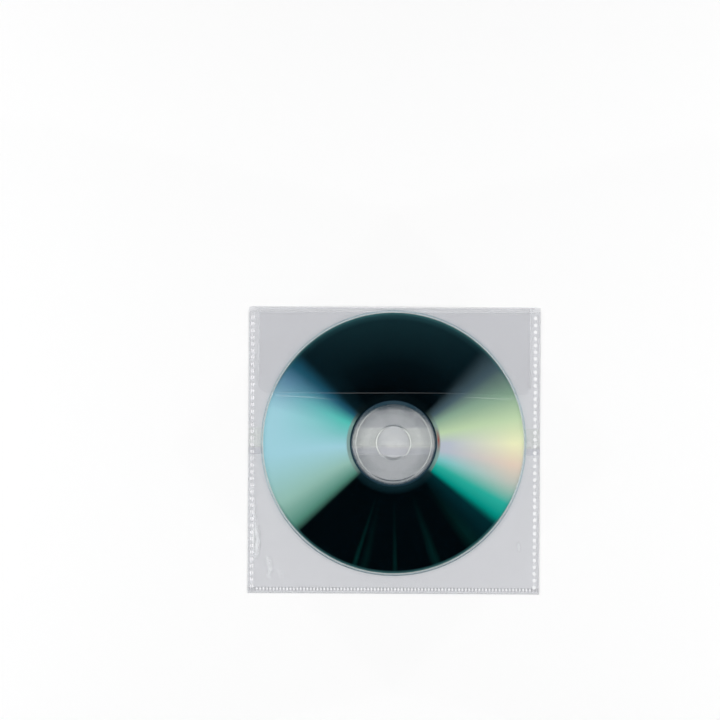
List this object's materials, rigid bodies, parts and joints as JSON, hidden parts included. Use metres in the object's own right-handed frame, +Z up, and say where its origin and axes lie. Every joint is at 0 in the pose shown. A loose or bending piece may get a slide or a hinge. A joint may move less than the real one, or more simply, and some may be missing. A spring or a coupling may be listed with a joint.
{
  "type": "cd sleeve",
  "caption": "Clear film disc sleeve with welded sides, a tucked-in flap and a self-adhesive back strip, holding a recordable disc.",
  "frame": {"origin": "under the middle of the sleeve, on the surface that it lies on", "axes": "+Z up out of the front sheet, +Y towards the folded top edge, +X to the right"},
  "size_m": [0.1316, 0.1296, 0.0019],
  "materials": {
    "liner_film": "translucent silicone-faced release film, slightly bluish",
    "tape": "clear double-sided adhesive film",
    "back_film": "clear soft polypropylene film, smooth",
    "disc_plastic": "clear polycarbonate over a mirrored dye layer, dark teal with diffraction colours",
    "front_film": "clear soft polypropylene film, smooth, with pressed weld beads"
  },
  "bodies": {
    "root": {"release_liner": "liner_film", "adhesive_tape": "tape", "back_sheet": "back_film", "disc": "disc_plastic", "front_sheet": "front_film"}
  },
  "joints": []
}
